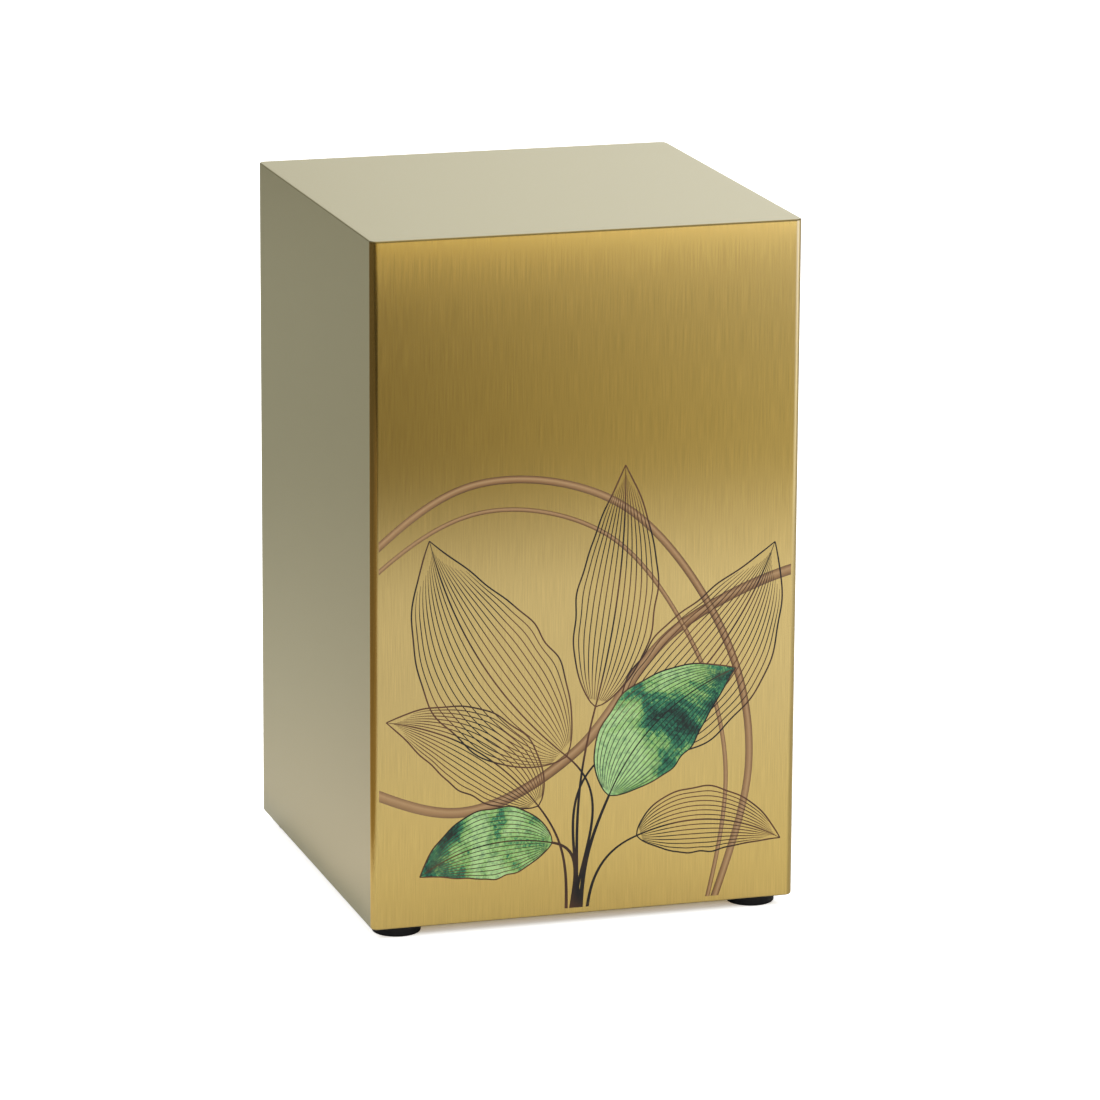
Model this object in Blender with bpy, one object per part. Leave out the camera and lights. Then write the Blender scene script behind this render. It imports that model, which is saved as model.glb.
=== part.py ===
"""Box-shaped cremation urn of sheet metal, filled from below, on four rubber feet.

Metres, +Z up. The origin is at the middle of the underside, on the surface that the urn stands on,
and the brushed front faces -Y.
"""

import math

import bmesh
import bpy
from mathutils import Matrix, Vector

# Casing: four walls and a top, open below
WIDTH = 0.180
DEPTH = 0.180
CASING_HEIGHT = 0.284
WALL = 0.0015
CORNER_RADIUS = 0.003
TOP_EDGE_RADIUS = 0.0005
LOWER_EDGE_RADIUS = 0.0011
FLOOR_CLEARANCE = 0.0048

# Base plate inside the lower edge
PLATE_THICKNESS = 0.0015
PLATE_RECESS = 0.001
PLATE_GAP = 0.0003

# Gussets welded into the casing's lower corners, which the base plate is screwed to
GUSSET_THICKNESS = 0.003
GUSSET_MARGIN = 0.003
WELD_DEPTH = 0.0008

# Round rubber feet under the base plate
FOOT_DIAMETER = 0.020
FOOT_EDGE_RADIUS = 0.0007
FOOT_MARGIN = 0.0025
SEAT_GAP = 0.0003

# Button-head screws with a hexagon socket
SCREW_DIAMETER = 0.004
SCREW_CLEARANCE = 0.0003
SCREW_REACH = 0.001
HEAD_DIAMETER = 0.0076
HEAD_HEIGHT = 0.0022
HEAD_TO_FOOT = 0.0025
SOCKET_ACROSS_FLATS = 0.0025
SOCKET_DEPTH = 0.0012

# The brushed front reaches round its upright bends, up to this cosine from straight ahead
FRONT_WRAP = 0.05

# Facets
CORNER_STEPS = 12
EDGE_STEPS = 4
FOOT_STEPS = 48
SCREW_STEPS = 24
HEAD_STEPS = 5
CUT_OVERRUN = 0.001

# Colours, linear
BRASS = (0.60, 0.42, 0.16)
LACQUER = (0.50, 0.47, 0.36)
STEEL = (0.55, 0.54, 0.52)
RUBBER = (0.012, 0.012, 0.011)

# Heights and places that follow from the sizes above
LOWER_EDGE = FLOOR_CLEARANCE
TOP = LOWER_EDGE + CASING_HEIGHT
PLATE_UNDERSIDE = LOWER_EDGE + PLATE_RECESS
PLATE_TOP = PLATE_UNDERSIDE + PLATE_THICKNESS
GUSSET_UNDERSIDE = PLATE_TOP + PLATE_GAP
GUSSET_TOP = GUSSET_UNDERSIDE + GUSSET_THICKNESS
FOOT_INSET = WALL + FOOT_MARGIN + FOOT_DIAMETER / 2
SCREW_INSET = FOOT_INSET + (FOOT_DIAMETER / 2 + HEAD_TO_FOOT + HEAD_DIAMETER / 2) / math.sqrt(2)
SCREW_HOLE_DIAMETER = SCREW_DIAMETER + 2 * SCREW_CLEARANCE

CORNERS = {
    "front_left": (-1, -1),
    "front_right": (1, -1),
    "back_left": (-1, 1),
    "back_right": (1, 1),
}


def clear_scene():
    for obj in list(bpy.data.objects):
        bpy.data.objects.remove(obj, do_unlink=True)


def make_material(name, colour, metallic, roughness):
    material = bpy.data.materials.new(name)
    material.use_nodes = True
    shader = material.node_tree.nodes["Principled BSDF"]
    shader.inputs["Base Color"].default_value = (*colour, 1)
    shader.inputs["Metallic"].default_value = metallic
    shader.inputs["Roughness"].default_value = roughness
    return material


def add_object(name, shape, place=(0, 0, 0), materials=(), parent=None):
    """An object of the bmesh shape, its faces turned outwards, at place."""
    bmesh.ops.recalc_face_normals(shape, faces=shape.faces)
    mesh = bpy.data.meshes.new(name)
    shape.to_mesh(mesh)
    shape.free()
    obj = bpy.data.objects.new(name, mesh)
    obj.location = place
    obj.parent = parent
    for material in materials:
        mesh.materials.append(material)
    mesh.shade_smooth()
    mesh.set_sharp_from_angle(angle=math.radians(35))
    bpy.context.scene.collection.objects.link(obj)
    return obj


def as_helper(obj):
    """Keeps a cutter or a joined-on shape out of the finished part."""
    obj.hide_render = True
    obj.display_type = "WIRE"
    return obj


def add_boolean(obj, other, operation):
    modifier = obj.modifiers.new(other.name, "BOOLEAN")
    modifier.operation = operation
    modifier.solver = "EXACT"
    modifier.object = other


def block(width, depth, low, high):
    """A closed block centred on the Z axis, from height low to height high."""
    shape = bmesh.new()
    bmesh.ops.create_cube(shape, size=1)
    bmesh.ops.scale(shape, vec=(width, depth, high - low), verts=shape.verts)
    bmesh.ops.translate(shape, vec=(0, 0, (low + high) / 2), verts=shape.verts)
    return shape


def is_upright(edge):
    along = edge.verts[1].co - edge.verts[0].co
    return math.hypot(along.x, along.y) < abs(along.z) / 10


def round_edges(shape, edges, radius, steps):
    bmesh.ops.bevel(
        shape,
        geom=edges,
        offset=radius,
        offset_type="OFFSET",
        segments=steps,
        profile=0.5,
        affect="EDGES",
    )


def edges_at(shape, height, within):
    """The level edges at a height whose ends all pass the test within."""
    return [
        edge
        for edge in shape.edges
        if all(abs(vert.co.z - height) < 1e-6 and within(vert.co) for vert in edge.verts)
    ]


def rod(diameter, low, high, steps):
    """A round rod on the Z axis, from height low to height high."""
    shape = bmesh.new()
    bmesh.ops.create_cone(
        shape,
        cap_ends=True,
        segments=steps,
        radius1=diameter / 2,
        radius2=diameter / 2,
        depth=high - low,
        matrix=Matrix.Translation((0, 0, (low + high) / 2)),
    )
    return shape


def corner_place(corner, inset):
    """The point this far in from both outer faces that meet at a corner."""
    side_x, side_y = CORNERS[corner]
    return Vector((side_x * (WIDTH / 2 - inset), side_y * (DEPTH / 2 - inset), 0))


def add_screw_holes(obj, low, high):
    for corner in CORNERS:
        hole = rod(SCREW_HOLE_DIAMETER, low - CUT_OVERRUN, high + CUT_OVERRUN, SCREW_STEPS)
        cutter = add_object(f"{obj.name}_hole_{corner}", hole, corner_place(corner, SCREW_INSET))
        add_boolean(obj, as_helper(cutter), "DIFFERENCE")


def casing_shell():
    """The walls and top as one sheet: a block with rounded upright corners, hollowed from below."""
    shape = block(WIDTH, DEPTH, LOWER_EDGE, TOP)
    round_edges(shape, [edge for edge in shape.edges if is_upright(edge)], CORNER_RADIUS, CORNER_STEPS)
    shape.normal_update()
    underside = min(shape.faces, key=lambda face: face.calc_center_median().z)
    bmesh.ops.inset_region(shape, faces=[underside], thickness=WALL, use_even_offset=True)
    raised = bmesh.ops.extrude_face_region(shape, geom=[underside])
    bmesh.ops.delete(shape, geom=[underside], context="FACES")
    ceiling = [item for item in raised["geom"] if isinstance(item, bmesh.types.BMVert)]
    bmesh.ops.translate(shape, vec=(0, 0, CASING_HEIGHT - WALL), verts=ceiling)

    def is_outer(point):
        flat_x = abs(point.x) - (WIDTH / 2 - CORNER_RADIUS)
        flat_y = abs(point.y) - (DEPTH / 2 - CORNER_RADIUS)
        return math.hypot(max(flat_x, 0), max(flat_y, 0)) > CORNER_RADIUS - WALL / 2

    round_edges(shape, edges_at(shape, TOP, is_outer), TOP_EDGE_RADIUS, EDGE_STEPS)
    round_edges(shape, edges_at(shape, LOWER_EDGE, is_outer), LOWER_EDGE_RADIUS, EDGE_STEPS)
    return shape


def gusset(corner):
    """A three-sided plate that fills one lower corner, its two outer sides sunk into the walls as a weld."""
    side_x, side_y = CORNERS[corner]
    outer = WALL - WELD_DEPTH
    far = 2 * SCREW_INSET + math.sqrt(2) * (SCREW_HOLE_DIAMETER / 2 + GUSSET_MARGIN) - outer
    shape = bmesh.new()
    corner_verts = [
        shape.verts.new(corner_place(corner, 0) - Vector((side_x * in_x, side_y * in_y, -GUSSET_UNDERSIDE)))
        for in_x, in_y in ((outer, outer), (far, outer), (outer, far))
    ]
    underside = shape.faces.new(corner_verts)
    raised = bmesh.ops.extrude_face_region(shape, geom=[underside])
    lifted = [item for item in raised["geom"] if isinstance(item, bmesh.types.BMVert)]
    bmesh.ops.translate(shape, vec=(0, 0, GUSSET_THICKNESS), verts=lifted)
    square_corner = corner_place(corner, outer)
    upright = [
        edge
        for edge in shape.edges
        if is_upright(edge) and (edge.verts[0].co.xy - square_corner.xy).length < 1e-6
    ]
    round_edges(shape, upright, CORNER_RADIUS - outer, CORNER_STEPS)
    return shape


def add_casing(lacquer, brass, parent):
    casing = add_object("casing", casing_shell(), materials=(lacquer, brass), parent=parent)
    for corner in CORNERS:
        plate = add_object(f"gusset_{corner}", gusset(corner))
        add_boolean(casing, as_helper(plate), "UNION")
    add_screw_holes(casing, GUSSET_UNDERSIDE, GUSSET_TOP)
    for face in casing.data.polygons:
        on_front = face.center.y < -DEPTH / 2 + CORNER_RADIUS
        face.material_index = int(on_front and face.normal.y < -FRONT_WRAP)


def add_base_plate(steel, parent):
    side_gap = 2 * (WALL + PLATE_GAP)
    shape = block(WIDTH - side_gap, DEPTH - side_gap, PLATE_UNDERSIDE, PLATE_TOP)
    upright = [edge for edge in shape.edges if is_upright(edge)]
    round_edges(shape, upright, CORNER_RADIUS - WALL - PLATE_GAP, CORNER_STEPS)
    plate = add_object("base_plate", shape, materials=(steel,), parent=parent)
    add_screw_holes(plate, PLATE_UNDERSIDE, PLATE_TOP)


def add_feet(rubber, parent):
    for corner in CORNERS:
        shape = rod(FOOT_DIAMETER, 0, PLATE_UNDERSIDE - SEAT_GAP, FOOT_STEPS)
        round_edges(shape, edges_at(shape, 0, lambda point: True), FOOT_EDGE_RADIUS, EDGE_STEPS)
        add_object(f"foot_{corner}", shape, corner_place(corner, FOOT_INSET), (rubber,), parent)


def screw_outline():
    """The screw's half outline from the middle of its domed head up to the end of its shank."""
    seat = PLATE_UNDERSIDE - SEAT_GAP
    end = GUSSET_TOP + SCREW_REACH
    turns = [math.pi / 2 * step / HEAD_STEPS for step in range(HEAD_STEPS + 1)]
    dome = [(HEAD_DIAMETER / 2 * math.sin(turn), seat - HEAD_HEIGHT * math.cos(turn)) for turn in turns]
    shank = [(SCREW_DIAMETER / 2, seat), (SCREW_DIAMETER / 2, end), (0, end)]
    return dome + shank


def turned(outline, steps):
    """The closed body that a half outline sweeps round the Z axis."""
    shape = bmesh.new()
    verts = [shape.verts.new((radius, 0, height)) for radius, height in outline]
    edges = [shape.edges.new(pair) for pair in zip(verts, verts[1:])]
    bmesh.ops.spin(
        shape,
        geom=verts + edges,
        cent=(0, 0, 0),
        axis=(0, 0, 1),
        angle=2 * math.pi,
        steps=steps,
        use_merge=True,
    )
    bmesh.ops.remove_doubles(shape, verts=shape.verts, dist=1e-6)
    return shape


def add_screws(steel, parent):
    bottom = PLATE_UNDERSIDE - SEAT_GAP - HEAD_HEIGHT
    across_corners = SOCKET_ACROSS_FLATS / math.cos(math.pi / 6)
    for corner in CORNERS:
        place = corner_place(corner, SCREW_INSET)
        outline = turned(screw_outline(), SCREW_STEPS)
        screw = add_object(f"base_screw_{corner}", outline, place, (steel,), parent)
        socket = rod(across_corners, bottom - CUT_OVERRUN, bottom + SOCKET_DEPTH, 6)
        cutter = add_object(f"socket_{corner}", socket, place)
        add_boolean(screw, as_helper(cutter), "DIFFERENCE")


def main():
    clear_scene()
    urn = bpy.data.objects.new("urn", None)
    bpy.context.scene.collection.objects.link(urn)
    brass = make_material("brushed_brass", BRASS, 1.0, 0.35)
    lacquer = make_material("champagne_lacquer", LACQUER, 0.6, 0.42)
    steel = make_material("plain_steel", STEEL, 1.0, 0.40)
    rubber = make_material("black_rubber", RUBBER, 0.0, 0.65)
    add_casing(lacquer, brass, urn)
    add_base_plate(steel, urn)
    add_feet(rubber, urn)
    add_screws(steel, urn)


main()
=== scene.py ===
"""Box-shaped cremation urn: the visible casing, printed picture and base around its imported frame.

Laid out as a Blender add-on and run as a script. Metres, +Z up. The urn stands on Z = 0 and its
brushed brass front faces -Y.
"""

import math
from collections import namedtuple

import bmesh
import bpy
import numpy as np
from mathutils import Matrix, Vector


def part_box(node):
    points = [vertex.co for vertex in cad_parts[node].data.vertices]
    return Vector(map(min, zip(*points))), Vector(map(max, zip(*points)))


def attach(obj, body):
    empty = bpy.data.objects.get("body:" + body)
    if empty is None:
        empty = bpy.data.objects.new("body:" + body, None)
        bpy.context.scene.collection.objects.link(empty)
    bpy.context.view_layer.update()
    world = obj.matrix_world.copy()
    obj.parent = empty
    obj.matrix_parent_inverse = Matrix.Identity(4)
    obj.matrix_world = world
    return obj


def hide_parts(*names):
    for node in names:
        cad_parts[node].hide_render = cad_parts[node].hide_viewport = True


bl_info = {
    "name": "Box-shaped cremation urn",
    "version": (1, 0, 0),
    "blender": (4, 5, 0),
    "location": "3D View > Sidebar > Urn",
    "description": "Adds a box-shaped urn with a brushed brass front, a printed leaf picture and its studio",
    "category": "Add Mesh",
}

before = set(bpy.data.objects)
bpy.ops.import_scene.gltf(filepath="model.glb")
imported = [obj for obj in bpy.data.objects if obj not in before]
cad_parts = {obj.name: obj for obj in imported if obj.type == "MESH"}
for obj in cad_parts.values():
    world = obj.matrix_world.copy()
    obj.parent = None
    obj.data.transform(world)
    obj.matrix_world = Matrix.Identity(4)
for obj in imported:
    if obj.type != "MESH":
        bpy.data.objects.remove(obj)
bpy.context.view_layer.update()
BODY = "root"

CASING_LOW, CASING_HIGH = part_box("casing")
CASING_SIZE = CASING_HIGH - CASING_LOW
CASING_MIDDLE = (CASING_HIGH + CASING_LOW) / 2
HALF = CASING_SIZE / 2
FRONT = CASING_LOW.y

FEET = ("foot_front_left", "foot_front_right", "foot_back_left", "foot_back_right")
SCREWS = (
    "base_screw_front_left",
    "base_screw_front_right",
    "base_screw_back_left",
    "base_screw_back_right",
)

# How far the gussets reach into the wall that they are welded to
WELD_DEPTH = 0.0008

# The picture, in millimetres on the front: across from its middle, and up from the table.
# A sweep is its width and the points it passes.
SWEEPS = (
    (4.4, ((-150, 96), (-97, 66), (-50, 52), (-4, 74), (38, 122), (97, 146), (150, 140))),
    (3.2, ((-150, 96), (-97, 156), (-46, 188), (14, 176), (56, 124), (70, 64), (52, -4), (30, -60))),
    (1.8, ((-150, 84), (-97, 146), (-46, 176), (8, 164), (44, 118), (60, 62), (50, -4), (30, -60))),
)
# bend is how far the middle bends sideways, as a share of the length, and veins their number on each side
Leaf = namedtuple("Leaf", "base tip bend half_width veins")
LINE_LEAVES = (
    Leaf((-8, 72), (-66, 166), 0.16, 27, 9),
    Leaf((12, 74), (80, 156), -0.18, 25, 9),
    Leaf((-20, 52), (-84, 92), -0.20, 17, 7),
    Leaf((4, 92), (16, 192), -0.07, 17, 6),
    Leaf((22, 36), (84, 30), 0.24, 14, 6),
)
GREEN_LEAVES = (
    Leaf((10, 54), (64, 104), 0.22, 19, 8),
    Leaf((-14, 36), (-70, 26), -0.22, 15, 7),
)
STEM_FOOT = (-4, -6)


# Selecting and finishing

def deselect_all():
    if bpy.context.object and bpy.context.object.mode != "OBJECT":
        bpy.ops.object.mode_set(mode="OBJECT")
    bpy.ops.object.select_all(action="DESELECT")


def activate(obj):
    deselect_all()
    obj.select_set(True)
    bpy.context.view_layer.objects.active = obj


def named(name):
    """The object just added, under its own name."""
    obj = bpy.context.object
    obj.name = name
    obj.data.name = name
    return obj


def pick(obj, kind, test):
    """Selects the edges or faces of the mesh in edit mode that pass the test."""
    bpy.ops.mesh.select_mode(type=kind)
    bpy.ops.mesh.select_all(action="DESELECT")
    shape = bmesh.from_edit_mesh(obj.data)
    shape.normal_update()
    found = 0
    for element in shape.edges if kind == "EDGE" else shape.faces:
        chosen = bool(test(element))
        element.select_set(chosen)
        found += chosen
    bmesh.update_edit_mesh(obj.data)
    if not found:
        raise RuntimeError(f"nothing to select on {obj.name}")


def edge_middle(edge):
    return (edge.verts[0].co + edge.verts[1].co) / 2


def is_upright(edge):
    along = edge.verts[1].co - edge.verts[0].co
    return abs(along.z) > 0.9 * along.length


def at_height(edge, height):
    return all(abs(vert.co.z - height) < 1e-6 for vert in edge.verts)


def apply_boolean(obj, other, operation):
    activate(obj)
    modifier = obj.modifiers.new("join", "BOOLEAN")
    modifier.operation = operation
    modifier.solver = "EXACT"
    modifier.object = other
    bpy.ops.object.modifier_apply(modifier=modifier.name)
    bpy.data.objects.remove(other, do_unlink=True)


def apply_place(obj):
    activate(obj)
    bpy.ops.object.transform_apply(location=True, rotation=True, scale=True)


def smooth(obj, degrees=35):
    """Smooth shading that keeps the flats flat and the corners crisp."""
    activate(obj)
    bpy.ops.object.shade_smooth_by_angle(angle=math.radians(degrees))
    modifier = obj.modifiers.new("flats", "WEIGHTED_NORMAL")
    modifier.keep_sharp = True
    modifier.weight = 100
    bpy.ops.object.modifier_apply(modifier=modifier.name)


def finish_piece(obj, replaces=()):
    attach(obj, BODY)
    if replaces:
        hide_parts(*replaces)


# Shader nodes

def group_socket(group, name, in_out, kind="NodeSocketFloat", default=None):
    socket = group.interface.new_socket(name=name, in_out=in_out, socket_type=kind)
    if default is not None:
        socket.default_value = default


class Nodes:
    """Short calls for adding and linking the nodes of one tree."""

    def __init__(self, tree):
        self.tree = tree

    def add(self, kind, **settings):
        node = self.tree.nodes.new(kind)
        for name, value in settings.items():
            setattr(node, name, value)
        return node

    def set(self, node, socket, value):
        if isinstance(value, bpy.types.NodeSocket):
            self.tree.links.new(value, node.inputs[socket])
        else:
            node.inputs[socket].default_value = value

    def fill(self, node, **values):
        """Sets or links sockets by name, with an underscore for each space."""
        for name, value in values.items():
            self.set(node, name.replace("_", " "), value)

    def math(self, operation, *values):
        node = self.add("ShaderNodeMath", operation=operation)
        for index, value in enumerate(values):
            self.set(node, index, value)
        return node.outputs[0]

    def place(self):
        """The point being shaded, in the object's own metres."""
        return self.add("ShaderNodeTexCoord").outputs["Object"]

    def split(self, vector):
        node = self.add("ShaderNodeSeparateXYZ")
        self.set(node, 0, vector)
        return node.outputs

    def mix(self, factor, first, second, blend="MIX"):
        node = self.add("ShaderNodeMix", data_type="RGBA", blend_type=blend)
        self.set(node, 0, factor)
        self.set(node, 6, first)
        self.set(node, 7, second)
        return node.outputs[2]

    def noise(self, vector, scale, detail=2.0, roughness=0.5, distortion=0.0):
        node = self.add("ShaderNodeTexNoise")
        self.fill(node, Vector=vector, Scale=scale, Detail=detail, Roughness=roughness, Distortion=distortion)
        return node.outputs["Fac"]

    def turned(self, vector, rotation):
        node = self.add("ShaderNodeMapping")
        self.fill(node, Vector=vector, Rotation=rotation)
        return node.outputs["Vector"]

    def ramp(self, factor, stops):
        """A colour ramp; each stop is its place and its colour, or one number for a grey."""
        node = self.add("ShaderNodeValToRGB")
        self.set(node, "Fac", factor)
        elements = node.color_ramp.elements
        while len(elements) < len(stops):
            elements.new(0.5)
        for element, (place, colour) in zip(elements, stops):
            element.position = place
            element.color = (colour, colour, colour, 1) if isinstance(colour, float) else (*colour, 1)
        return node.outputs["Color"]

    def spread(self, value, low, high, new_low, new_high):
        node = self.add("ShaderNodeMapRange")
        for index, item in enumerate((value, low, high, new_low, new_high)):
            self.set(node, index, item)
        return node.outputs[0]

    def group(self, group, **values):
        node = self.add("ShaderNodeGroup", node_tree=group)
        self.fill(node, **values)
        return node.outputs

    def bump(self, shader, height, strength, distance):
        node = self.add("ShaderNodeBump")
        self.fill(node, Height=height, Strength=strength, Distance=distance)
        self.set(shader, "Normal", node.outputs[0])


def new_material(name):
    material = bpy.data.materials.new(name)
    material.use_nodes = True
    nodes = Nodes(material.node_tree)
    return material, nodes, material.node_tree.nodes["Principled BSDF"]


def upright_grain_group():
    """Fine upright brush lines, broken along their length. Made once and shared."""
    group = bpy.data.node_groups.get("upright_grain")
    if group:
        return group
    group = bpy.data.node_groups.new("upright_grain", "ShaderNodeTree")
    group_socket(group, "Vector", "INPUT", "NodeSocketVector")
    group_socket(group, "Lines per metre", "INPUT", default=3000.0)
    group_socket(group, "Breaks per metre", "INPUT", default=60.0)
    group_socket(group, "Lines", "OUTPUT")
    nodes = Nodes(group)
    source = nodes.add("NodeGroupInput").outputs
    fine_scale = nodes.add("ShaderNodeCombineXYZ")
    wide_scale = nodes.add("ShaderNodeCombineXYZ")
    for axis in (0, 1):
        nodes.set(fine_scale, axis, source["Lines per metre"])
        nodes.set(wide_scale, axis, nodes.math("MULTIPLY", source["Lines per metre"], 0.4))
    nodes.set(fine_scale, 2, source["Breaks per metre"])
    nodes.set(wide_scale, 2, nodes.math("MULTIPLY", source["Breaks per metre"], 0.3))
    lines = []
    for scale in (fine_scale, wide_scale):
        product = nodes.add("ShaderNodeVectorMath", operation="MULTIPLY")
        nodes.set(product, 0, source["Vector"])
        nodes.set(product, 1, scale.outputs[0])
        lines.append(nodes.noise(product.outputs[0], 1.0, 2.0))
    both = nodes.math("ADD", nodes.math("MULTIPLY", lines[0], 0.97), nodes.math("MULTIPLY", lines[1], 0.03))
    result = nodes.add("NodeGroupOutput")
    nodes.set(result, "Lines", nodes.spread(both, 0.32, 0.68, 0.0, 1.0))
    return group


def metal_flake_group():
    """Grains of metal flake under a lacquer, each a little lighter or darker."""
    group = bpy.data.node_groups.new("metal_flake", "ShaderNodeTree")
    group_socket(group, "Vector", "INPUT", "NodeSocketVector")
    group_socket(group, "Flakes per metre", "INPUT", default=3000.0)
    group_socket(group, "Flake", "OUTPUT")
    group_socket(group, "Cloud", "OUTPUT")
    nodes = Nodes(group)
    source = nodes.add("NodeGroupInput").outputs
    cells = nodes.add("ShaderNodeTexVoronoi", feature="F1")
    nodes.fill(cells, Vector=source["Vector"], Scale=source["Flakes per metre"])
    tint = nodes.add("ShaderNodeSeparateColor")
    nodes.set(tint, "Color", cells.outputs["Color"])
    result = nodes.add("NodeGroupOutput")
    nodes.set(result, "Flake", tint.outputs[0])
    nodes.set(result, "Cloud", nodes.noise(source["Vector"], 22.0, 3.0))
    return group


def shaded(colour, factor):
    return (*(channel * factor for channel in colour[:3]), 1)


def brass_material(settings, grain):
    """Brushed upright, and darker along its upper and lower edges and its right-hand bend: painted shade in
    place of the dark that these bevels and the bend reflect.
    """
    material, nodes, shader = new_material("brushed_brass")
    place = nodes.place()
    across, _, height = nodes.split(place)
    lines = nodes.group(grain, Vector=place, Lines_per_metre=3000.0, Breaks_per_metre=60.0)["Lines"]
    colour = settings.brass_colour
    brushed = nodes.mix(lines, shaded(colour, 0.92), shaded(colour, 1.08))
    upper_edge = CASING_HIGH.z - 1.2 * settings.top_edge_radius
    bend = HALF.x - settings.corner_radius
    # Painted shade: the brass colour is darkened along the top bevel, the lower bevel and the right-hand bend
    top_edge_shade = nodes.spread(height, upper_edge - 0.0003, upper_edge + 0.0001, 0.0, 1.0)
    foot_edge_shade = nodes.spread(height, CASING_LOW.z + 0.0006, CASING_LOW.z + 0.0002, 0.0, 0.7)
    bend_shade = nodes.spread(across, bend, bend + 0.3 * settings.corner_radius, 0.0, 0.57)
    dark = nodes.math("MAXIMUM", top_edge_shade, nodes.math("MAXIMUM", foot_edge_shade, bend_shade))
    nodes.fill(
        shader,
        Base_Color=nodes.mix(dark, brushed, shaded(colour, 0.3)),
        Metallic=1.0,
        Roughness=nodes.spread(lines, 0.0, 1.0, 0.162, 0.172),
        Anisotropic=1.0,
        Tangent=nodes.add("ShaderNodeTangent", direction_type="RADIAL", axis="Z").outputs[0],
        Coat_Weight=0.15,
        Coat_Roughness=0.12,
    )
    nodes.bump(shader, lines, 0.08, 0.00002)
    return material


def lacquer_material(settings, flake):
    material, nodes, shader = new_material("champagne_lacquer")
    flakes = nodes.group(flake, Vector=nodes.place(), Flakes_per_metre=3000.0)
    colour = settings.lacquer_colour
    grained = nodes.mix(flakes["Flake"], shaded(colour, 0.93), shaded(colour, 1.07))
    nodes.fill(
        shader,
        Base_Color=nodes.mix(nodes.math("MULTIPLY", flakes["Cloud"], 0.12), grained, shaded(colour, 0.9)),
        Metallic=0.8,
        Roughness=nodes.spread(flakes["Flake"], 0.0, 1.0, 0.30, 0.38),
        Coat_Weight=0.15,
        Coat_Roughness=0.2,
    )
    nodes.bump(shader, flakes["Flake"], 0.12, 0.00003)
    return material


def mill_metal_material(name, colour, grain, roughness):
    """Plain rolled metal, as inside the casing and underneath."""
    material, nodes, shader = new_material(name)
    place = nodes.place()
    turned = nodes.turned(place, (0, math.pi / 2, 0))
    lines = nodes.group(grain, Vector=turned, Lines_per_metre=900.0, Breaks_per_metre=20.0)["Lines"]
    cloud = nodes.noise(place, 30.0, 3.0)
    tone = nodes.math("ADD", nodes.math("MULTIPLY", lines, 0.5), nodes.math("MULTIPLY", cloud, 0.5))
    nodes.fill(
        shader,
        Base_Color=nodes.mix(tone, shaded(colour, 0.82), shaded(colour, 1.1)),
        Metallic=1.0,
        Roughness=nodes.spread(tone, 0.0, 1.0, roughness, roughness + 0.12),
    )
    nodes.bump(shader, lines, 0.15, 0.00002)
    return material


def rubber_material(settings):
    material, nodes, shader = new_material("black_rubber")
    place = nodes.place()
    dust = nodes.noise(place, 160.0, 4.0)
    colour = settings.rubber_colour
    nodes.fill(
        shader,
        Base_Color=nodes.mix(dust, shaded(colour, 0.8), shaded(colour, 1.5)),
        Roughness=nodes.spread(dust, 0.3, 0.7, 0.5, 0.68),
        Specular_IOR_Level=0.25,
    )
    nodes.bump(shader, nodes.noise(place, 2600.0, 3.0), 0.3, 0.00005)
    return material


def ink_material(name, ink_colour):
    """Ink under the clear coat; ink_colour makes its colour from the place and the way along and across."""
    material, nodes, shader = new_material(name)
    place = nodes.place()
    along, across, _ = nodes.split(nodes.add("ShaderNodeUVMap", uv_map="stroke").outputs[0])
    nodes.fill(
        shader,
        Base_Color=ink_colour(nodes, place, along, across),
        Roughness=nodes.spread(nodes.noise(place, 1500.0, 2.0), 0.3, 0.7, 0.27, 0.40),
        Specular_IOR_Level=0.25,
        Coat_Weight=0.1,
        Coat_Roughness=0.15,
    )
    return material


# Casing

def is_outside(point, settings):
    """Whether a point lies on the casing's outer skin, bends included."""
    radius = settings.corner_radius
    reach_x = max(abs(point.x) - (HALF.x - radius), 0)
    reach_y = max(abs(point.y) - (HALF.y - radius), 0)
    return math.hypot(reach_x, reach_y) > radius - settings.wall / 2


def casing_body(settings):
    """Walls and top as one sheet, from a cube rounded, hollowed from below and eased at its edges."""
    deselect_all()
    bpy.ops.mesh.primitive_cube_add(size=1, location=CASING_MIDDLE, scale=CASING_SIZE)
    casing = named("urn_casing")
    apply_place(casing)
    bpy.ops.object.mode_set(mode="EDIT")
    pick(casing, "EDGE", is_upright)
    bpy.ops.mesh.bevel(offset=settings.corner_radius, segments=16, profile=0.5, affect="EDGES")
    pick(casing, "FACE", lambda face: face.normal.z < -0.9)
    bpy.ops.mesh.inset(thickness=settings.wall, use_even_offset=True)
    raise_by = CASING_SIZE.z - settings.wall
    bpy.ops.mesh.extrude_region_move(TRANSFORM_OT_translate={"value": (0, 0, raise_by)})
    for height, rounding, segments in (
        (CASING_HIGH.z, settings.top_edge_radius, 4),
        (CASING_LOW.z, settings.lower_edge_radius, 6),
    ):
        pick(casing, "EDGE", lambda edge: at_height(edge, height) and is_outside(edge_middle(edge), settings))
        bpy.ops.mesh.bevel(offset=rounding, segments=segments, profile=0.5, affect="EDGES")
    bpy.ops.object.mode_set(mode="OBJECT")
    return casing


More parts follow.
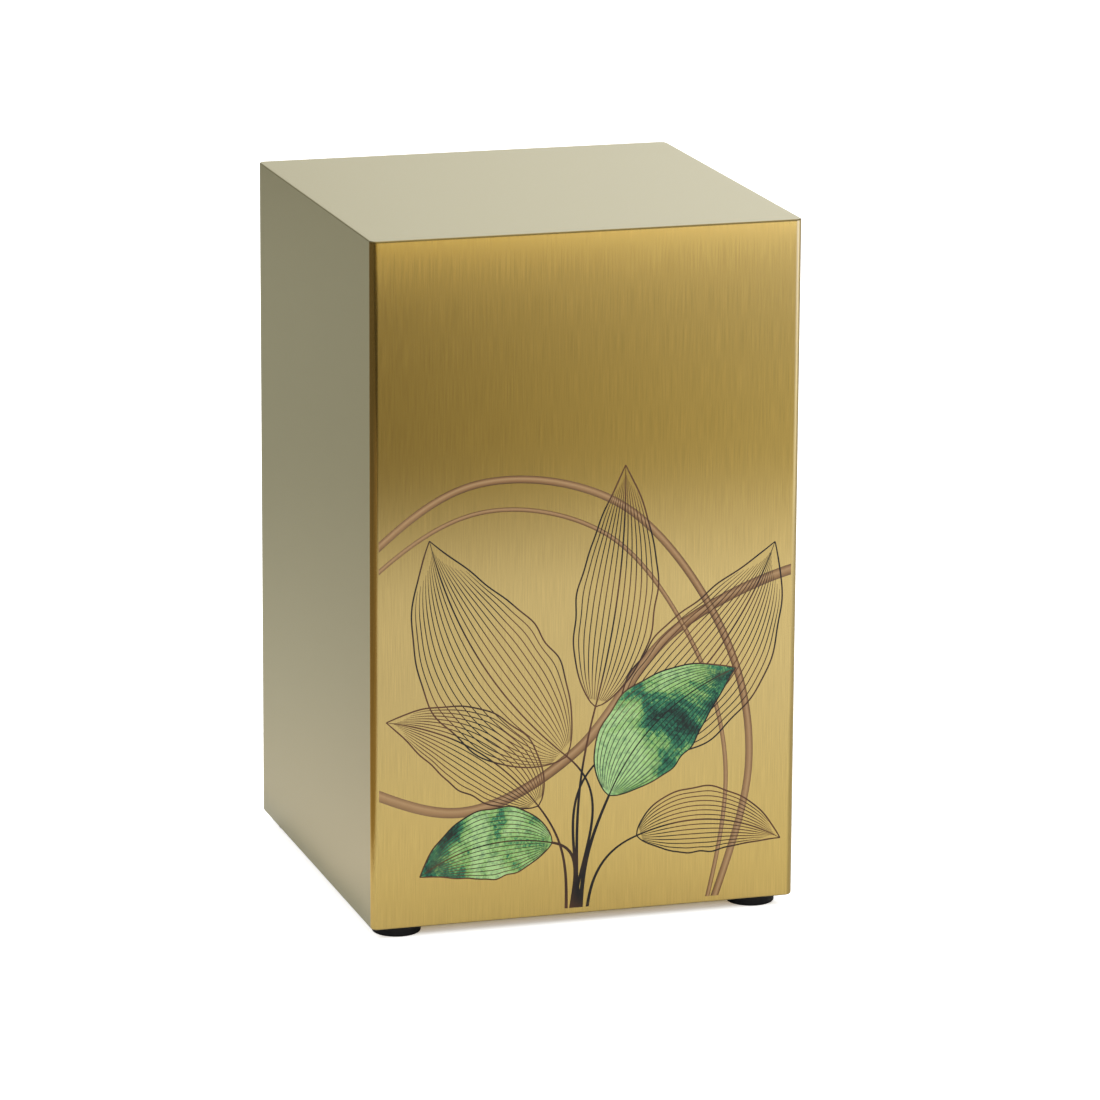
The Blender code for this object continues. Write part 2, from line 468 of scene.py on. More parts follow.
def add_gussets(casing, settings):
    """Four three-sided plates in the lower corners, bored for the base screws."""
    low, high, leg = settings.gusset_low, settings.gusset_high, settings.gusset_leg
    inset = settings.wall - WELD_DEPTH
    for name in SCREWS:
        screw_low, screw_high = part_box(name)
        screw = (screw_low + screw_high) / 2
        side = Vector((math.copysign(1, screw.x), math.copysign(1, screw.y)))
        corner = Vector((side.x * (HALF.x - inset), side.y * (HALF.y - inset)))
        middle = Vector((corner.x - side.x * leg / 2, corner.y - side.y * leg / 2, (low + high) / 2))
        deselect_all()
        bpy.ops.mesh.primitive_cube_add(size=1, location=middle, scale=(leg, leg, high - low))
        plate = named("gusset")
        apply_place(plate)
        bpy.ops.object.mode_set(mode="EDIT")
        pick(plate, "EDGE", lambda edge: is_upright(edge) and (edge_middle(edge).xy - corner).length < 1e-5)
        bpy.ops.mesh.bevel(offset=settings.corner_radius - inset, segments=8, affect="EDGES")
        bpy.ops.mesh.select_all(action="SELECT")
        bpy.ops.mesh.bisect(
            plane_co=middle, plane_no=(-side.x, -side.y, 0), use_fill=True, clear_outer=True
        )
        bpy.ops.object.mode_set(mode="OBJECT")
        deselect_all()
        bpy.ops.mesh.primitive_cylinder_add(
            vertices=32,
            radius=settings.bore_radius,
            depth=4 * (high - low),
            location=(screw.x, screw.y, middle.z),
        )
        apply_boolean(plate, named("bore"), "DIFFERENCE")
        apply_boolean(casing, plate, "UNION")


def finish_faces(casing, settings):
    """Brass on the front and round its upright bends, bare metal inside, lacquer elsewhere."""
    lacquer, brass, bare = 0, 1, 2
    inner_x, inner_y = (half - settings.wall + 1e-5 for half in HALF.xy)
    for face in casing.data.polygons:
        point = face.center
        inside_plan = abs(point.x) < inner_x and abs(point.y) < inner_y
        within_height = CASING_LOW.z + 1e-5 < point.z < CASING_HIGH.z - settings.wall / 2
        if inside_plan and within_height and not is_outside(point, settings):
            face.material_index = bare
        elif face.normal.y < -0.05 and point.y < FRONT + settings.corner_radius:
            face.material_index = brass
        else:
            face.material_index = lacquer


# Printed picture

def smooth_path(points, steps=24):
    """A smooth curve through the points, its first and last points left out."""
    points = np.array(points, float)
    path = []
    for before, start, end, after in zip(points, points[1:], points[2:], points[3:]):
        for step in range(steps):
            t = step / steps
            path.append(
                0.5
                * (
                    2 * start
                    + (end - before) * t
                    + (2 * before - 5 * start + 4 * end - after) * t**2
                    + (3 * start - before - 3 * end + after) * t**3
                )
            )
    path.append(points[-2])
    return np.array(path)


def sideways(path):
    """Unit vectors square to a path."""
    along = np.gradient(path, axis=0)
    along /= np.linalg.norm(along, axis=1)[:, None]
    return np.stack([-along[:, 1], along[:, 0]], axis=1)


def stroke(path, widths):
    """The two edges of a line of changing width, as a grid two points wide."""
    offset = sideways(path) * np.asarray(widths)[:, None] / 2
    return np.stack([path - offset, path + offset], axis=1)


def leaf_spine(leaf, steps):
    base, tip = np.array(leaf.base, float), np.array(leaf.tip, float)
    axis = tip - base
    control = (base + tip) / 2 + leaf.bend * np.array([-axis[1], axis[0]])
    t = np.linspace(0, 1, steps)[:, None]
    return (1 - t) ** 2 * base + 2 * t * (1 - t) * control + t**2 * tip


def leaf_reach(leaf, steps):
    """Half the leaf's width along its spine: full below the middle and drawn out to a point."""
    t = np.linspace(0, 1, steps)
    rise, fall = 0.72, 1.02
    widest = rise / (rise + fall)
    shape = (t / widest) ** rise * ((1 - t) / (1 - widest)) ** fall
    return leaf.half_width * np.minimum(shape, 1.0)


def leaf_line(leaf, share, steps=72):
    """A line that runs up the leaf at a fixed share of its half width, wavy towards the outline."""
    spine = leaf_spine(leaf, steps)
    t = np.linspace(0, 1, steps)
    wave = np.sin(21 * t + 4 * share) + 0.7 * np.sin(34 * t + leaf.base[0] + share)
    ripple = 1 + 0.022 * wave * abs(share) ** 4
    return spine + sideways(spine) * (leaf_reach(leaf, steps) * share * ripple)[:, None]


def tapered(full, steps, start=0.45, end=0.25):
    t = np.linspace(0, 1, steps)
    return full * np.minimum(start + t * 4, 1) * np.minimum(end + (1 - t) * 5, 1)


def leaf_strokes(leaf, outline, vein):
    """Outline, midrib and veins of one leaf."""
    strokes = []
    for side in (-1, 1):
        path = leaf_line(leaf, side)
        strokes.append(stroke(path, tapered(outline, len(path), 0.8, 0.7)))
        for index in range(1, leaf.veins + 1):
            path = leaf_line(leaf, side * index / (leaf.veins + 1))[2:-2 - index]
            strokes.append(stroke(path, tapered(vein, len(path))))
    path = leaf_line(leaf, 0)
    strokes.append(stroke(path, tapered(outline, len(path), 1.2, 0.3)))
    return strokes


def stem_strokes(leaf, width, steps=48):
    """A stem that rises from the shared foot and runs straight on into the leaf's midrib."""
    spine = leaf_spine(leaf, 40)
    base, ahead = spine[0], (spine[1] - spine[0]) / np.linalg.norm(spine[1] - spine[0])
    foot = np.array(STEM_FOOT, float) + (base[0] * 0.2, 0)
    reach = np.linalg.norm(base - foot)
    points = (foot, foot + (0, 0.45 * reach), base - ahead * 0.4 * reach, base)
    t = np.linspace(0, 1, steps)[:, None]
    weights = ((1 - t) ** 3, 3 * t * (1 - t) ** 2, 3 * t**2 * (1 - t), t**3)
    path = sum(weight * point for weight, point in zip(weights, points))
    return [stroke(path, np.linspace(width * 1.5, width * 0.7, steps))]


def leaf_blade(leaf):
    """A grid of points that fills the leaf."""
    shares = np.linspace(-1, 1, 15)
    return np.stack([leaf_line(leaf, share) for share in shares], axis=1)


def film(name, grids, settings, layer, reach):
    """One closed film of ink for each grid of points, layer by layer off the brass, cut off at the bends."""
    verts, faces, coordinates = [], [], []
    root = FRONT + settings.ink_root
    for number, grid in enumerate(grids):
        # Each grid lies a little further off than the one before, so that no two share a plane
        lift = FRONT - settings.ink_layer * (layer + 0.8 * number / len(grids))
        rows, columns = grid.shape[:2]
        start, count = len(verts), rows * columns
        flat = grid.reshape(-1, 2) / 1000
        verts += [(x, lift, z) for x, z in flat] + [(x, root, z) for x, z in flat]
        along, across = np.linspace(0, 1, rows), np.linspace(0, 1, columns)
        coordinates += 2 * [(row, column) for row in along for column in across]
        for row in range(rows - 1):
            for column in range(columns - 1):
                first = start + row * columns + column
                quad = (first, first + 1, first + columns + 1, first + columns)
                faces.append(quad)
                faces.append(tuple(index + count for index in reversed(quad)))
        rim = [start + column for column in range(columns)]
        rim += [start + row * columns + columns - 1 for row in range(1, rows)]
        rim += [start + (rows - 1) * columns + column for column in range(columns - 2, -1, -1)]
        rim += [start + row * columns for row in range(rows - 2, 0, -1)]
        for first, second in zip(rim, rim[1:] + rim[:1]):
            faces.append((second, first, first + count, second + count))
    mesh = bpy.data.meshes.new(name)
    mesh.from_pydata(verts, [], faces)
    layer_uv = mesh.uv_layers.new(name="stroke")
    for loop in mesh.loops:
        layer_uv.data[loop.index].uv = coordinates[loop.vertex_index]
    obj = bpy.data.objects.new(name, mesh)
    bpy.context.scene.collection.objects.link(obj)
    activate(obj)
    bpy.ops.object.mode_set(mode="EDIT")
    bpy.ops.mesh.select_all(action="SELECT")
    bpy.ops.mesh.normals_make_consistent(inside=False)
    for point, outward in (
        ((-reach, 0, 0), (-1, 0, 0)),
        ((reach, 0, 0), (1, 0, 0)),
        ((0, 0, settings.picture_low), (0, 0, -1)),
    ):
        bpy.ops.mesh.select_all(action="SELECT")
        bpy.ops.mesh.bisect(plane_co=point, plane_no=outward, use_fill=True, clear_outer=True)
    bpy.ops.object.mode_set(mode="OBJECT")
    return obj


def sweep_colour(settings):
    def colour(nodes, place, along, across):
        edge, middle, light = settings.bronze_dark, settings.bronze, settings.bronze_light
        round_shade = nodes.ramp(
            across,
            ((0.0, edge[:3]), (0.3, middle[:3]), (0.62, light[:3]), (0.8, middle[:3]), (1.0, edge[:3])),
        )
        drift = nodes.noise(place, 16.0, 1.0)
        return nodes.mix(nodes.spread(drift, 0.4, 0.7, 0.0, 0.4), round_shade, light)
    return colour


def line_colour(settings):
    def colour(nodes, place, along, across):
        drift = nodes.noise(place, 26.0, 1.0)
        return nodes.mix(nodes.spread(drift, 0.42, 0.56, 0.0, 1.0), settings.line_bronze, settings.line_black)
    return colour


def green_colour(settings):
    def colour(nodes, place, along, across):
        patch = nodes.noise(nodes.turned(place, (0.9, 0.7, 0.4)), 36.0, 6.0, 0.6, 0.5)
        grit = nodes.noise(nodes.turned(place, (0.3, 0.5, 0.8)), 1100.0, 4.0, 0.75)
        patch = nodes.math("ADD", patch, nodes.spread(grit, 0.3, 0.7, -0.06, 0.06))
        patch = nodes.math("ADD", patch, nodes.spread(along, 0.3, 1.0, 0.03, -0.07))
        greens = nodes.ramp(
            nodes.spread(patch, 0.38, 0.60, 0.0, 1.0),
            (
                (0.0, settings.green_black[:3]),
                (0.16, settings.green_deep[:3]),
                (0.42, settings.green_mid[:3]),
                (0.6, settings.green_light[:3]),
                (1.0, settings.green_pale[:3]),
            ),
        )
        mottle = nodes.noise(nodes.turned(place, (0.5, 0.8, 0.2)), 420.0, 5.0, 0.75)
        return nodes.mix(nodes.spread(mottle, 0.48, 0.62, 0.0, 0.5), greens, shaded(settings.green_deep, 1.4))
    return colour


# Base

def place_copy(model, name, node):
    """A copy of a piece modelled on the Z axis, put where its CAD node stands."""
    low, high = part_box(node)
    piece = model.copy()
    piece.data = model.data.copy()
    piece.name = name
    piece.data.name = name
    bpy.context.scene.collection.objects.link(piece)
    piece.location = ((low.x + high.x) / 2, (low.y + high.y) / 2, low.z)
    apply_place(piece)
    return piece


def model_foot(settings):
    """A short cylinder, rounded and hollowed underneath."""
    low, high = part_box(FEET[0])
    size = high - low
    deselect_all()
    bpy.ops.mesh.primitive_cylinder_add(
        vertices=72, radius=size.x / 2, depth=size.z, location=(0, 0, size.z / 2)
    )
    foot = named("foot_model")
    apply_place(foot)
    bpy.ops.object.mode_set(mode="EDIT")
    pick(foot, "EDGE", lambda edge: at_height(edge, 0))
    bpy.ops.mesh.bevel(offset=settings.foot_rounding, segments=5, affect="EDGES")
    pick(foot, "FACE", lambda face: face.normal.z < -0.99)
    bpy.ops.mesh.inset(thickness=settings.foot_rim)
    bpy.ops.mesh.extrude_region_move(TRANSFORM_OT_translate={"value": (0, 0, settings.foot_hollow)})
    bpy.ops.object.mode_set(mode="OBJECT")
    smooth(foot)
    return foot


def model_screw(settings):
    """A domed head with a hexagon socket, and a plain shank above it."""
    low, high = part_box(SCREWS[0])
    size = high - low
    head = settings.head_height
    deselect_all()
    bpy.ops.mesh.primitive_cylinder_add(vertices=48, radius=size.x / 2, depth=head, location=(0, 0, head / 2))
    screw = named("screw_model")
    apply_place(screw)
    bpy.ops.object.mode_set(mode="EDIT")
    pick(screw, "EDGE", lambda edge: at_height(edge, 0))
    bpy.ops.mesh.bevel(offset=settings.head_rounding, segments=8, affect="EDGES")
    bpy.ops.object.mode_set(mode="OBJECT")
    deselect_all()
    bpy.ops.mesh.primitive_cylinder_add(
        vertices=48,
        radius=settings.shank_radius,
        depth=size.z - head / 2,
        location=(0, 0, (size.z + head / 2) / 2),
    )
    apply_boolean(screw, named("shank"), "UNION")
    deselect_all()
    bpy.ops.mesh.primitive_cylinder_add(
        vertices=6, radius=settings.socket_radius, depth=2 * settings.socket_depth, location=(0, 0, 0)
    )
    apply_boolean(screw, named("socket"), "DIFFERENCE")
    smooth(screw)
    return screw


# Studio

def studio_floor(settings):
    """A pale floor. To the camera its shadow is lifted to white, but stays warm and dim under the urn."""
    deselect_all()
    bpy.ops.mesh.primitive_plane_add(size=14)
    floor = named("studio_floor")
    material, nodes, shader = new_material("studio_floor")
    seen = nodes.add("ShaderNodeLightPath").outputs["Is Camera Ray"]
    place = nodes.place()
    across, ahead, _ = nodes.split(place)
    aside = nodes.math("MAXIMUM", nodes.math("ABSOLUTE", across), nodes.math("ABSOLUTE", ahead))
    # Painted light: a glow that only the camera sees lifts the floor's shadow to white, and a dim, warm glow
    # is painted next to the urn's footprint
    lift = nodes.ramp(
        nodes.spread(aside, HALF.x - 0.018, HALF.x - 0.004, 0.0, 1.0),
        (
            (0.0, (0.33, 0.19, 0.05)),
            (0.25, (0.38, 0.30, 0.16)),
            (0.5, (0.48, 0.39, 0.28)),
            (0.7, (0.54, 0.48, 0.39)),
            (1.0, (1.0, 0.985, 0.95)),
        ),
    )
    tone = nodes.spread(nodes.noise(place, 3.0), 0, 1, 0.99, 1.01)
    pale = nodes.mix(seen, shaded((1, 1, 1), settings.floor_tone), shaded((1, 1, 1), 0.93))
    nodes.fill(
        shader,
        Base_Color=nodes.mix(1.0, pale, tone, "MULTIPLY"),
        Roughness=0.9,
        Specular_IOR_Level=0.0,
        Emission_Color=lift,
        Emission_Strength=nodes.math("MULTIPLY", seen, settings.floor_lift),
    )
    floor.data.materials.append(material)
    return floor


def only_in_reflections(obj):
    """Stage geometry that the camera and the ground don't see."""
    obj.visible_camera = False
    obj.visible_diffuse = False
    obj.visible_shadow = False
    obj.visible_transmission = False


def reflector(name, place, size, colour_of):
    """A card that only the metal sees; colour_of makes its light and its cover from x and y on it."""
    deselect_all()
    bpy.ops.mesh.primitive_plane_add(size=1, location=place)
    card = named(name)
    card.scale = (*size, 1)
    apply_place(card)
    only_in_reflections(card)
    material, nodes, shader = new_material(name)
    nodes.tree.nodes.remove(shader)
    across, ahead, _ = nodes.split(nodes.place())
    colour, cover = colour_of(nodes, across, ahead)
    glow = nodes.add("ShaderNodeEmission")
    nodes.fill(glow, Color=colour, Strength=1.0)
    mixed = nodes.add("ShaderNodeMixShader")
    nodes.set(mixed, 0, cover)
    nodes.set(mixed, 1, nodes.add("ShaderNodeBsdfTransparent").outputs[0])
    nodes.set(mixed, 2, glow.outputs[0])
    nodes.set(nodes.tree.nodes["Material Output"], "Surface", mixed.outputs[0])
    card.data.materials.append(material)
    return card


def front_reflector():
    """In front: bright near the urn, then a darker stretch, warmest on the left, then bright again."""
    def colour_of(nodes, across, ahead):
        slant = nodes.math("ADD", across, nodes.math("MULTIPLY", nodes.math("ADD", ahead, 1.2), 0.21))
        slant = nodes.spread(slant, -0.2, 1.2, 0.0, 1.0)
        depth = nodes.ramp(
            slant,
            ((0.0, 0.05), (0.21, 0.14), (0.32, 0.36), (0.41, 0.56), (0.5, 0.76), (0.75, 0.98), (1.0, 2.4)),
        )
        tint = nodes.ramp(
            slant,
            (
                (0.0, (1, 0.82, 0.40)),
                (0.28, (1, 0.85, 0.44)),
                (0.41, (1, 0.89, 0.49)),
                (0.5, (0.98, 0.92, 0.57)),
                (0.62, (0.99, 1.03, 1.17)),
                (0.78, (1, 1.1, 1.95)),
                (1.0, (1, 1.17, 2.6)),
            ),
        )
        beyond = nodes.ramp(
            nodes.spread(ahead, -1.60, -1.16, 0.0, 1.0),
            ((0.0, 1.0), (0.06, 0.44), (0.15, 0.16), (0.36, 0.04), (0.8, 0.0)),
        )
        bright = nodes.mix(slant, (1.62, 1.62, 1.6, 1), (4.9, 5.05, 6.0, 1))
        far = nodes.mix(1.0, nodes.mix(beyond, depth, bright), tint, "MULTIPLY")
        near = nodes.ramp(
            slant,
            (
                (0.0, (0.66, 0.67, 0.78)),
                (0.39, (0.99, 1.03, 1.27)),
                (0.54, (1.34, 1.4, 1.78)),
                (1.0, (2.7, 3.0, 4.6)),
            ),
        )
        colour = nodes.mix(nodes.spread(ahead, -0.61, -0.84, 0.0, 1.0), near, far)
        return colour, nodes.spread(ahead, -0.14, -0.42, 0.0, 1.0)
    return reflector("front_reflector", (0.0, -1.08, 0.002), (3.4, 1.9), colour_of)


def side_reflector():
    """Behind on the left: bright beside the urn, then dimmer than the floor, as the open room is."""
    def colour_of(nodes, across, ahead):
        tone = nodes.ramp(
            nodes.spread(ahead, 0.0, 1.2, 0.0, 1.0),
            (
                (0.0, (1.02, 0.93, 0.84)),
                (0.25, (0.76, 0.74, 0.66)),
                (0.6, (0.48, 0.48, 0.41)),
                (1.0, (0.52, 0.52, 0.44)),
            ),
        )
        return tone, nodes.spread(ahead, -0.13, 0.0, 0.0, 1.0)
    return reflector("side_reflector", (-1.4, 1.3, 0.003), (2.6, 3.0), colour_of)


def left_reflector():
    """On the left: the dark of the room that the left-hand bend shows, a wedge that opens to the left."""
    def colour_of(nodes, across, ahead):
        wedge = nodes.math("ADD", nodes.math("ADD", ahead, 0.29), nodes.math("MULTIPLY", across, 2.1))
        beside = nodes.spread(across, -0.15, -0.22, 0.0, 1.0)
        cover = nodes.math("MULTIPLY", beside, nodes.spread(wedge, 0.02, -0.08, 0.0, 1.0))
        tone = nodes.ramp(
            nodes.spread(across, -0.12, -0.92, 0.0, 1.0),
            ((0.0, (0.46, 0.34, 0.17)), (0.4, (0.27, 0.20, 0.12)), (1.0, (0.15, 0.125, 0.09))),
        )
        return tone, cover
    return reflector("left_reflector", (-1.0, 0.15, 0.004), (1.8, 2.16), colour_of)


def back_reflector():
    """Upright behind: dark on the left and bright on the right, for the top and its edges."""
    def colour_of(nodes, across, ahead):
        tone = nodes.ramp(
            nodes.spread(across, -0.6, 0.9, 0.0, 1.0),
            (
                (0.0, (0.16, 0.15, 0.12)),
                (0.3, (0.33, 0.32, 0.26)),
                (0.6, (1.0, 0.98, 0.9)),
                (1.0, (1.45, 1.44, 1.42)),
            ),
        )
        return tone, 1.0
    card = reflector("back_reflector", (0.3, 0.0, 0.0), (3.4, 1.7), colour_of)
    card.rotation_euler = (math.pi / 2, 0, 0)
    card.location = (0, 1.5, 0.87)
    return card


def add_softbox(name, place, aim, size, power):
    deselect_all()
    bpy.ops.object.light_add(type="AREA", location=place)
    light = bpy.context.object
    light.name = name
    light.data.shape = "RECTANGLE"
    light.data.size, light.data.size_y = size
    light.data.energy = power
    light.rotation_euler = (Vector(aim) - Vector(place)).to_track_quat("-Z", "Y").to_euler()
    light.visible_camera = False
    return light


def studio_world():
    """A pale room, a little brighter to the right and dim overhead."""
    world = bpy.context.scene.world or bpy.data.worlds.new("studio")
    bpy.context.scene.world = world
    world.use_nodes = True
    nodes = Nodes(world.node_tree)
    background = world.node_tree.nodes["Background"]
    across, _, height = nodes.split(nodes.add("ShaderNodeTexCoord").outputs["Generated"])
    to_right = nodes.spread(across, -0.3, 0.6, 0.92, 1.08)
    overhead = nodes.spread(height, 0.35, 0.75, 1.0, 0.3)
    room = nodes.mix(1.0, nodes.mix(1.0, (0.98, 0.98, 1.0, 1), to_right, "MULTIPLY"), overhead, "MULTIPLY")
    seen = nodes.add("ShaderNodeLightPath").outputs["Is Camera Ray"]
    nodes.fill(background, Color=nodes.mix(seen, room, (1.2, 1.2, 1.2, 1)), Strength=1.0)


def aim_camera(settings):
    """The camera at the photograph's viewing angle, its aim set off by about a centimetre each way."""
    turn, rise, roll = settings.camera_turn, settings.camera_rise, settings.camera_roll
    back = Vector((math.sin(turn) * math.cos(rise), -math.cos(turn) * math.cos(rise), math.sin(rise)))
    right = Vector((0, 0, 1)).cross(back).normalized()
    up = back.cross(right)
    aim = CASING_MIDDLE + right * settings.aim_right + up * settings.aim_up
    place = aim + back * settings.camera_distance
    right, up = right * math.cos(roll) + up * math.sin(roll), up * math.cos(roll) - right * math.sin(roll)
    deselect_all()
    bpy.ops.object.camera_add()
    camera = bpy.context.object
    camera.matrix_world = Matrix(
        (
            (right.x, up.x, back.x, place.x),
            (right.y, up.y, back.y, place.y),
            (right.z, up.z, back.z, place.z),
            (0, 0, 0, 1),
        )
    )
    camera.data.sensor_width = 36
    camera.data.lens = settings.focal_length
    camera.data.clip_end = 50
    bpy.context.scene.camera = camera


# Settings

def number(name, description, default, **options):
    return bpy.props.FloatProperty(name=name, description=description, default=default, **options)


def length(name, description, default):
    return number(name, description, default, min=0, unit="LENGTH", precision=5)


def colour(name, description, default):
    return bpy.props.FloatVectorProperty(
        name=name, description=description, default=(*default, 1), size=4, min=0, max=1, subtype="COLOR"
    )


class UrnCasingSettings(bpy.types.PropertyGroup):
    """Sizes and finishes of the casing."""

    wall: length("Wall", "Thickness of the sheet metal", 0.0015)
    corner_radius: length("Corner radius", "Outer radius of the upright bends", 0.003)
    top_edge_radius: length("Top edge radius", "Rounding of the outer edge of the top", 0.0005)
    lower_edge_radius: length("Lower edge radius", "Rounding of the outer lower edge", 0.0011)
    gusset_low: length("Gusset underside", "Height of the gussets' underside", 0.0076)
    gusset_high: length("Gusset top", "Height of the gussets' upper side", 0.0106)
    gusset_leg: length("Gusset leg", "Length of a gusset along the wall", 0.0572)
    bore_radius: length("Bore radius", "Radius of the gussets' screw holes", 0.0023)
    brass_colour: colour("Brass", "Tone of the brushed front", (0.60, 0.435, 0.138))
    lacquer_colour: colour("Lacquer", "Tone of the sides, back and top", (0.40, 0.365, 0.205))
    inner_colour: colour("Inside", "Tone of the bare metal inside", (0.50, 0.48, 0.44))


class UrnPictureSettings(bpy.types.PropertyGroup):
    """Inks and line widths of the printed picture."""

    picture_low: length("Lower end", "Height at which the print stops", 0.0075)
    ink_layer: length("Ink layer", "Thickness of one layer of ink", 0.00002)
    ink_root: length("Ink root", "How far each film reaches back into the brass", 0.0001)
    outline_width: length("Outline", "Width of a leaf's outline", 0.00062)
    vein_width: length("Vein", "Width of a leaf's veins", 0.00040)
    stem_width: length("Stem", "Width of a leaf's stem", 0.0010)
    bronze: colour("Bronze", "Main tone of the sweeps", (0.29, 0.155, 0.06))
    bronze_light: colour("Light bronze", "Lit middle of the sweeps", (0.45, 0.28, 0.13))
    bronze_dark: colour("Dark bronze", "Edges of the sweeps", (0.085, 0.04, 0.015))
    line_bronze: colour("Line bronze", "Lighter tone of the drawn lines", (0.11, 0.045, 0.018))
    line_black: colour("Line black", "Darker tone of the drawn lines", (0.010, 0.008, 0.006))
    green_black: colour("Darkest green", "Darkest patches of the green leaves", (0.010, 0.020, 0.012))
    green_deep: colour("Deep green", "Deep patches of the green leaves", (0.010, 0.095, 0.055))
    green_mid: colour("Emerald", "Emerald patches of the green leaves", (0.045, 0.250, 0.105))
    green_light: colour("Light green", "Light patches of the green leaves", (0.26, 0.50, 0.13))
    green_pale: colour("Pale green", "Palest patches of the green leaves", (0.44, 0.68, 0.28))


class UrnBaseSettings(bpy.types.PropertyGroup):
    """Sizes and finishes of the feet and screws, and the finish of the base plate."""

    foot_rounding: length("Foot rounding", "Rounding of a foot's lower edge", 0.0007)
    foot_rim: length("Foot rim", "Width of the ring that a foot stands on", 0.0042)
    foot_hollow: length("Foot hollow", "Depth of the hollow under a foot", 0.0012)
    head_height: length("Head height", "Height of a screw's head", 0.0022)
    head_rounding: length("Head rounding", "Rounding of a screw's head", 0.0018)
    shank_radius: length("Shank radius", "Radius of a screw's shank", 0.002)
    socket_radius: length("Socket radius", "Radius of the hexagon socket over its corners", 0.00144)
    socket_depth: length("Socket depth", "Depth of the hexagon socket", 0.0012)
    rubber_colour: colour("Rubber", "Tone of the feet", (0.0045, 0.0042, 0.004))
    steel_colour: colour("Steel", "Tone of the base plate and screws", (0.50, 0.49, 0.47))


class UrnStudioSettings(bpy.types.PropertyGroup):
    """Camera, floor and light."""

    camera_turn: number("Camera turn", "Camera's angle round from the front", -0.2967, subtype="ANGLE")
    camera_rise: number("Camera rise", "Camera's angle above the horizon", 0.2474, subtype="ANGLE")
    camera_roll: number("Camera roll", "Camera's tilt to the side", 0.0057, subtype="ANGLE")
    camera_distance: length("Camera distance", "From the camera to its aim", 2.5217)
    aim_right: number("Aim right", "How far right of the urn's middle the aim is", 0.01134, unit="LENGTH")
    aim_up: number("Aim up", "How far above the urn's middle the aim is", -0.01044, unit="LENGTH")
    focal_length: number("Focal length", "Camera's focal length in millimetres", 197.97)
    floor_tone: number("Floor tone", "How pale the floor is to the urn", 0.89, min=0, max=1)
    floor_lift: number("Floor lift", "How much the floor's shadows are lifted", 0.8, min=0, max=1)
    softbox_power: number("Softbox power", "Power of the light overhead", 42, min=0, unit="POWER")


# Operators

class UrnAddCasing(bpy.types.Operator):
    """Add the hollow casing with its gussets, brushed in front and lacquered elsewhere"""

    bl_idname = "urn.add_casing"
    bl_label = "Casing"

    def execute(self, context):
        settings = context.scene.urn_casing
        grain = upright_grain_group()
        casing = casing_body(settings)
        add_gussets(casing, settings)
        casing.data.materials.clear()
        for material in (
            lacquer_material(settings, metal_flake_group()),
            brass_material(settings, grain),
            mill_metal_material("bare_metal", settings.inner_colour, grain, 0.4),
        ):
            casing.data.materials.append(material)
        finish_faces(casing, settings)
        smooth(casing)
        finish_piece(casing, ["casing"])
        return {"FINISHED"}


class UrnAddPicture(bpy.types.Operator):
    """Add the printed picture: bronze sweeps, drawn leaves and two green leaves"""

    bl_idname = "urn.add_picture"
    bl_label = "Printed picture"

    def execute(self, context):
        settings = context.scene.urn_picture
        outline, vein, stem = (
            1000 * width for width in (settings.outline_width, settings.vein_width, settings.stem_width)
        )
        sweeps = []
        for width, points in SWEEPS:
            path = smooth_path(points)
            sweeps.append(stroke(path, np.full(len(path), width)))
        lines = [grid for leaf in LINE_LEAVES for grid in leaf_strokes(leaf, outline, vein)]
        lines += [grid for leaf in LINE_LEAVES for grid in stem_strokes(leaf, stem)]
        stems = [grid for leaf in GREEN_LEAVES for grid in stem_strokes(leaf, stem * 1.4)]
        veins = [grid for leaf in GREEN_LEAVES for grid in leaf_strokes(leaf, outline * 0.9, vein * 0.8)]
        layers = (
            ("print_sweeps", sweeps, sweep_colour(settings)),
            ("print_lines", lines, line_colour(settings)),
            ("print_green_leaves", [leaf_blade(leaf) for leaf in GREEN_LEAVES], green_colour(settings)),
            ("print_green_veins", veins + stems, line_colour(settings)),
        )
        reach = HALF.x - context.scene.urn_casing.corner_radius
        for layer, (name, grids, ink_colour) in enumerate(layers, 1):
            piece = film(name, grids, settings, layer, reach)
            piece.data.materials.append(ink_material(name, ink_colour))
            finish_piece(piece)
        return {"FINISHED"}


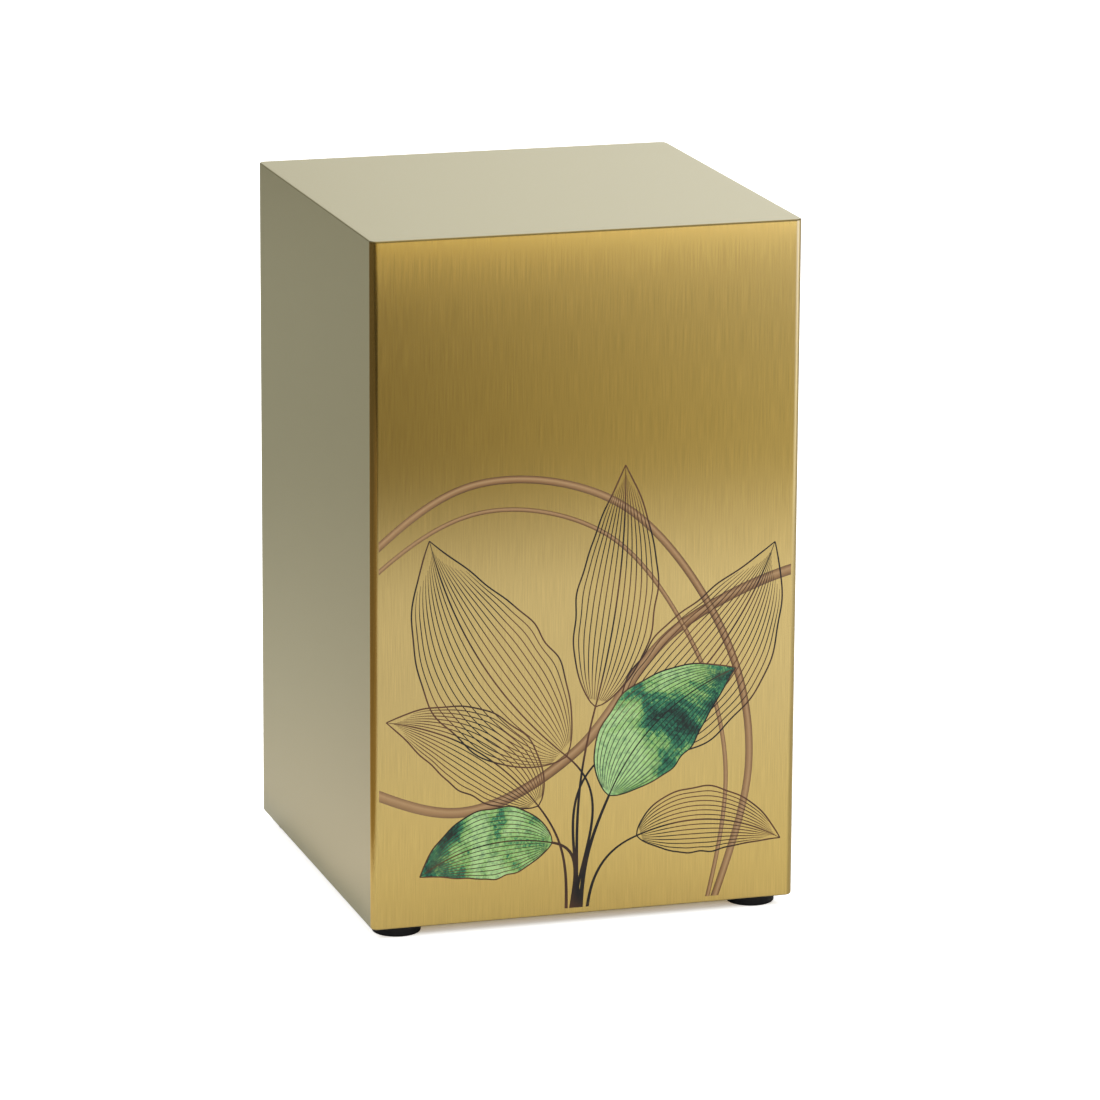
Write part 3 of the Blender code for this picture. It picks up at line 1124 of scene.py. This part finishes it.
class UrnAddBase(bpy.types.Operator):
    """Add the rubber feet and base screws and finish the base plate"""

    bl_idname = "urn.add_base"
    bl_label = "Base"

    def execute(self, context):
        settings = context.scene.urn_base
        rubber = rubber_material(settings)
        steel = mill_metal_material("plain_steel", settings.steel_colour, upright_grain_group(), 0.32)
        for model, nodes, material, slot in (
            (model_foot(settings), FEET, rubber, "black_rubber"),
            (model_screw(settings), SCREWS, steel, "plain_steel"),
        ):
            model.data.materials.append(material)
            for node in nodes:
                finish_piece(place_copy(model, f"urn_{node}", node), [node])
            bpy.data.objects.remove(model, do_unlink=True)
        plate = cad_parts["base_plate"]
        plate.data.materials.clear()
        plate.data.materials.append(steel)
        return {"FINISHED"}


class UrnAddStudio(bpy.types.Operator):
    """Add the pale floor, the soft light and the camera"""

    bl_idname = "urn.add_studio"
    bl_label = "Studio"

    def execute(self, context):
        settings = context.scene.urn_studio
        studio_floor(settings)
        front_reflector()
        side_reflector()
        left_reflector()
        back_reflector()
        add_softbox("overhead_softbox", (0.2, -0.3, 2.2), (0, 0, 0), (2.6, 2.6), settings.softbox_power)
        studio_world()
        aim_camera(settings)
        context.scene.view_settings.view_transform = "Standard"
        return {"FINISHED"}


class UrnPanel(bpy.types.Panel):
    """Lists the urn's pieces and their settings"""

    bl_idname = "VIEW3D_PT_urn"
    bl_label = "Cremation urn"
    bl_space_type = "VIEW_3D"
    bl_region_type = "UI"
    bl_category = "Urn"

    def draw(self, context):
        for operator, group in zip(OPERATORS, SETTINGS):
            settings = getattr(context.scene, group)
            column = self.layout.column()
            column.operator(operator.bl_idname)
            for name in settings.bl_rna.properties.keys():
                if name not in ("rna_type", "name"):
                    column.prop(settings, name)


SETTINGS = {
    "urn_casing": UrnCasingSettings,
    "urn_picture": UrnPictureSettings,
    "urn_base": UrnBaseSettings,
    "urn_studio": UrnStudioSettings,
}
OPERATORS = (UrnAddCasing, UrnAddPicture, UrnAddBase, UrnAddStudio)
CLASSES = (*SETTINGS.values(), *OPERATORS, UrnPanel)


def register():
    for item in CLASSES:
        bpy.utils.register_class(item)
    for name, group in SETTINGS.items():
        setattr(bpy.types.Scene, name, bpy.props.PointerProperty(type=group))


def unregister():
    for name in SETTINGS:
        delattr(bpy.types.Scene, name)
    for item in reversed(CLASSES):
        bpy.utils.unregister_class(item)


def main():
    register()
    bpy.ops.urn.add_casing()
    bpy.ops.urn.add_picture()
    bpy.ops.urn.add_base()
    bpy.ops.urn.add_studio()


if __name__ == "__main__":
    main()
